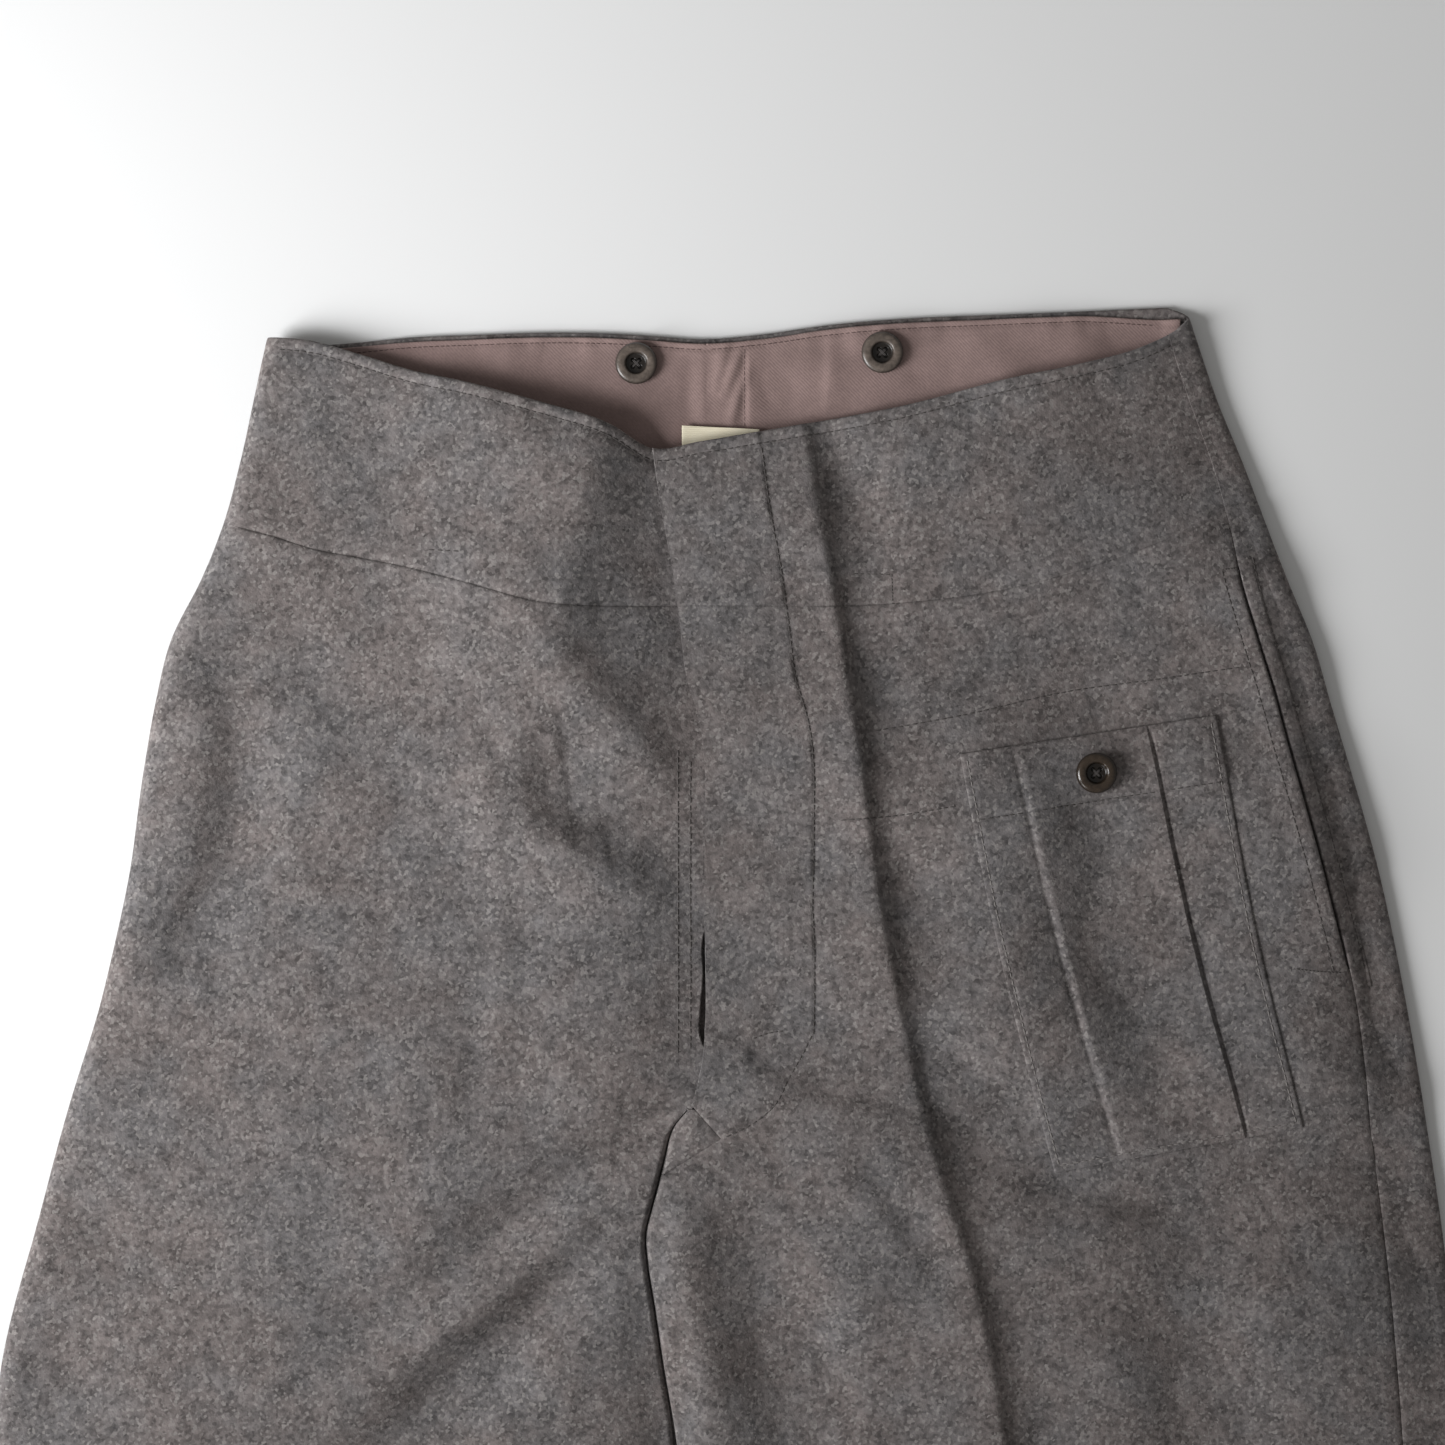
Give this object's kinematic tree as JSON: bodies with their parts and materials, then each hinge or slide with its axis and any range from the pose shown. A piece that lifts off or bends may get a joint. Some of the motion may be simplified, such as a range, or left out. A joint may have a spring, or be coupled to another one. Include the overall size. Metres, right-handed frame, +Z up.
{
  "type": "military trousers",
  "caption": "Wool service trousers with a deep waistband, a lapped fly and a pleated dressing pocket, laid flat on their back.",
  "frame": {"origin": "middle of the garment's box, on the surface that it lies on", "axes": "+Y from the hems to the waist, +X to the wearer's left, +Z up out of the front of the garment, which lies on its back"},
  "size_m": [0.6356, 1.0801, 0.019],
  "materials": {
    "wool": "milled grey wool serge with light and dark fibres, matt, with a short nap",
    "drill": "mauve brown cotton drill, matt, soft from washing",
    "label": "plain unbleached cotton tape, blank",
    "button": "dark brown moulded plastic, four holes, worn gloss"
  },
  "bodies": {
    "root": {"right_front": "wool", "left_front": "wool", "right_back": "wool", "left_back": "wool", "right_front_band": "wool", "left_front_band": "wool", "right_back_band": "wool", "left_back_band": "wool", "fly_underlap": "wool", "fork_piece": "wool", "dressing_pocket": "wool", "side_pocket_facing": "wool", "back_lining_right": "drill", "back_lining_left": "drill", "size_label": "label", "brace_button_right": "button", "brace_button_left": "button", "pocket_button": "button"}
  },
  "joints": []
}
